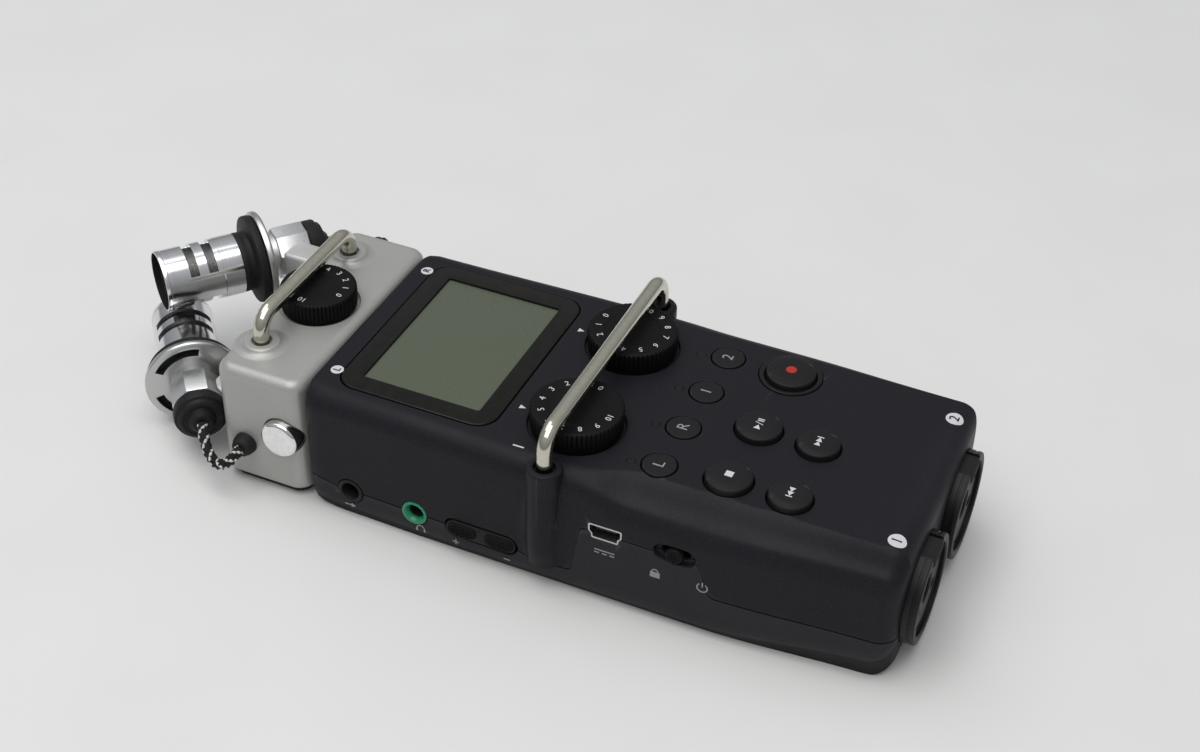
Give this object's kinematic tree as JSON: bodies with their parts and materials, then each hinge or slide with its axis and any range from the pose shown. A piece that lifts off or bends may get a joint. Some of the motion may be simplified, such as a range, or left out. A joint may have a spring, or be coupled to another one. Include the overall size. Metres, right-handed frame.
{
  "type": "handheld audio recorder",
  "caption": "Handheld audio recorder with a display, guarded gain dials, transport buttons, combination input jacks and a plug-on pair of crossed, shock-mounted microphones.",
  "frame": {"origin": "bottom centre of the whole recorder as it lies on a table", "axes": "+Y towards the microphones, +Z out of the display side, -X towards the side with the headphone jack"},
  "size_m": [0.0754, 0.2012, 0.0431],
  "materials": {
    "case": "fine matte texture",
    "dark_plastic": "satin",
    "button": "matte",
    "window": "gloss",
    "lcd": "satin",
    "silver_paint": "satin",
    "chrome": "polished",
    "aluminium": "turned",
    "rubber": "matte",
    "steel": "brushed",
    "brass": "satin",
    "board": "satin",
    "green_plastic": "gloss",
    "lamp": "clear",
    "braid": "woven",
    "mesh": "woven"
  },
  "bodies": {
    "main_unit": {"upper_case": "case", "lower_case": "case", "guard_bar": "chrome", "display_window": "window", "lcd_module": "lcd", "record_ring": "steel", "track_lamps": "lamp", "combo_jack_1": "dark_plastic", "combo_jack_2": "dark_plastic", "jack_contacts": "brass", "phones_jack": "green_plastic", "small_jacks": "dark_plastic", "usb_port": "steel", "main_board": "board", "board_controls": "dark_plastic", "module_socket": "dark_plastic", "battery_cells": "steel", "battery_contacts": "steel", "speaker": "dark_plastic", "tripod_insert": "brass", "case_screws": "steel"},
    "gain_dial_1": {"gain_knob_1": "dark_plastic", "gain_shaft_1": "steel"},
    "gain_dial_2": {"gain_knob_2": "dark_plastic", "gain_shaft_2": "steel"},
    "mic_gain_dial": {"mic_gain_knob": "dark_plastic", "mic_gain_shaft": "steel"},
    "mic_module": {"module_housing": "silver_paint", "module_base": "dark_plastic", "module_board": "board", "module_plug": "dark_plastic", "mic_guard_bar": "chrome", "mic_arms": "silver_paint", "mic_collars": "rubber", "mic_tubes": "aluminium", "mic_meshes": "mesh", "mic_rings": "aluminium", "mic_hubs": "aluminium", "mic_caps": "rubber", "mic_leads": "braid", "lead_grommets": "rubber"},
    "track_button_l_body": {"track_button_l": "button"},
    "track_button_r_body": {"track_button_r": "button"},
    "track_button_1_body": {"track_button_1": "button"},
    "track_button_2_body": {"track_button_2": "button"},
    "record_button_body": {"record_button": "button"},
    "play_button_body": {"play_button": "button"},
    "stop_button_body": {"stop_button": "button"},
    "rewind_button_body": {"rewind_button": "button"},
    "forward_button_body": {"forward_button": "button"},
    "jack_release_1_body": {"jack_release_1": "dark_plastic"},
    "jack_release_2_body": {"jack_release_2": "dark_plastic"},
    "volume_rocker_body": {"volume_rocker": "dark_plastic"},
    "power_slider_body": {"power_slider": "dark_plastic"},
    "menu_button_body": {"menu_button": "dark_plastic"},
    "scroll_switch_body": {"scroll_switch": "dark_plastic"},
    "card_door_body": {"card_door": "case"},
    "battery_cover_body": {"battery_cover": "case"},
    "release_button_left_body": {"release_button_left": "chrome"},
    "release_button_right_body": {"release_button_right": "chrome"}
  },
  "joints": [
    {"name": "gain_1_turn", "type": "hinge", "parent": "main_unit", "child": "gain_dial_1", "pos_m": [-0.0151, -0.0199, 0], "axis": [0, 0, 1], "range_deg": [-150, 150]},
    {"name": "gain_2_turn", "type": "hinge", "parent": "main_unit", "child": "gain_dial_2", "pos_m": [0.0151, -0.0199, 0], "axis": [0, 0, 1], "range_deg": [-150, 150]},
    {"name": "module_detach", "type": "slide", "parent": "main_unit", "child": "mic_module", "axis": [0, 1, 0], "range_m": [0, 0.03]},
    {"name": "mic_gain_turn", "type": "hinge", "parent": "mic_module", "child": "mic_gain_dial", "pos_m": [0, 0.0525, 0], "axis": [0, 0, 1], "range_deg": [-150, 150]},
    {"name": "release_left_press", "type": "slide", "parent": "mic_module", "child": "release_button_left_body", "axis": [1, 0, 0], "range_m": [0, 0.0015], "stiffness_N_per_m": 400},
    {"name": "release_right_press", "type": "slide", "parent": "mic_module", "child": "release_button_right_body", "axis": [-1, 0, 0], "range_m": [0, 0.0015], "stiffness_N_per_m": 400},
    {"name": "track_l_press", "type": "slide", "parent": "main_unit", "child": "track_button_l_body", "axis": [0, 0, -1], "range_m": [0, 0.0008], "stiffness_N_per_m": 300},
    {"name": "track_r_press", "type": "slide", "parent": "main_unit", "child": "track_button_r_body", "axis": [0, 0, -1], "range_m": [0, 0.0008], "stiffness_N_per_m": 300},
    {"name": "track_1_press", "type": "slide", "parent": "main_unit", "child": "track_button_1_body", "axis": [0, 0, -1], "range_m": [0, 0.0008], "stiffness_N_per_m": 300},
    {"name": "track_2_press", "type": "slide", "parent": "main_unit", "child": "track_button_2_body", "axis": [0, 0, -1], "range_m": [0, 0.0008], "stiffness_N_per_m": 300},
    {"name": "record_press", "type": "slide", "parent": "main_unit", "child": "record_button_body", "axis": [0, 0, -1], "range_m": [0, 0.0008], "stiffness_N_per_m": 300},
    {"name": "play_press", "type": "slide", "parent": "main_unit", "child": "play_button_body", "axis": [0, 0, -1], "range_m": [0, 0.0008], "stiffness_N_per_m": 300},
    {"name": "stop_press", "type": "slide", "parent": "main_unit", "child": "stop_button_body", "axis": [0, 0, -1], "range_m": [0, 0.0008], "stiffness_N_per_m": 300},
    {"name": "rewind_press", "type": "slide", "parent": "main_unit", "child": "rewind_button_body", "axis": [0, 0, -1], "range_m": [0, 0.0008], "stiffness_N_per_m": 300},
    {"name": "forward_press", "type": "slide", "parent": "main_unit", "child": "forward_button_body", "axis": [0, 0, -1], "range_m": [0, 0.0008], "stiffness_N_per_m": 300},
    {"name": "jack_release_1_press", "type": "slide", "parent": "main_unit", "child": "jack_release_1_body", "axis": [0, 1, 0], "range_m": [0, 0.0015], "stiffness_N_per_m": 400},
    {"name": "jack_release_2_press", "type": "slide", "parent": "main_unit", "child": "jack_release_2_body", "axis": [0, 1, 0], "range_m": [0, 0.0015], "stiffness_N_per_m": 400},
    {"name": "volume_rock", "type": "hinge", "parent": "main_unit", "child": "volume_rocker_body", "pos_m": [-0.02871, -0.0049, 0.008], "axis": [0, 0, 1], "range_deg": [-3, 3], "stiffness_Nm_per_rad": 0.05},
    {"name": "power_slide", "type": "slide", "parent": "main_unit", "child": "power_slider_body", "axis": [0, 1, 0], "range_m": [-0.0019, 0.0019]},
    {"name": "menu_press", "type": "slide", "parent": "main_unit", "child": "menu_button_body", "axis": [-1, 0, 0], "range_m": [0, 0.0008], "stiffness_N_per_m": 300},
    {"name": "scroll_rock", "type": "hinge", "parent": "main_unit", "child": "scroll_switch_body", "pos_m": [0.02941, -0.0049, 0.008], "axis": [0, 0, 1], "range_deg": [-15, 15], "stiffness_Nm_per_rad": 0.02},
    {"name": "card_door_swing", "type": "hinge", "parent": "main_unit", "child": "card_door_body", "pos_m": [0.03035, 0.0151, 0.01855], "axis": [0, 1, 0], "range_deg": [0, 95]},
    {"name": "battery_cover_slide", "type": "slide", "parent": "main_unit", "child": "battery_cover_body", "axis": [0, -1, 0], "range_m": [0, 0.06]}
  ]
}
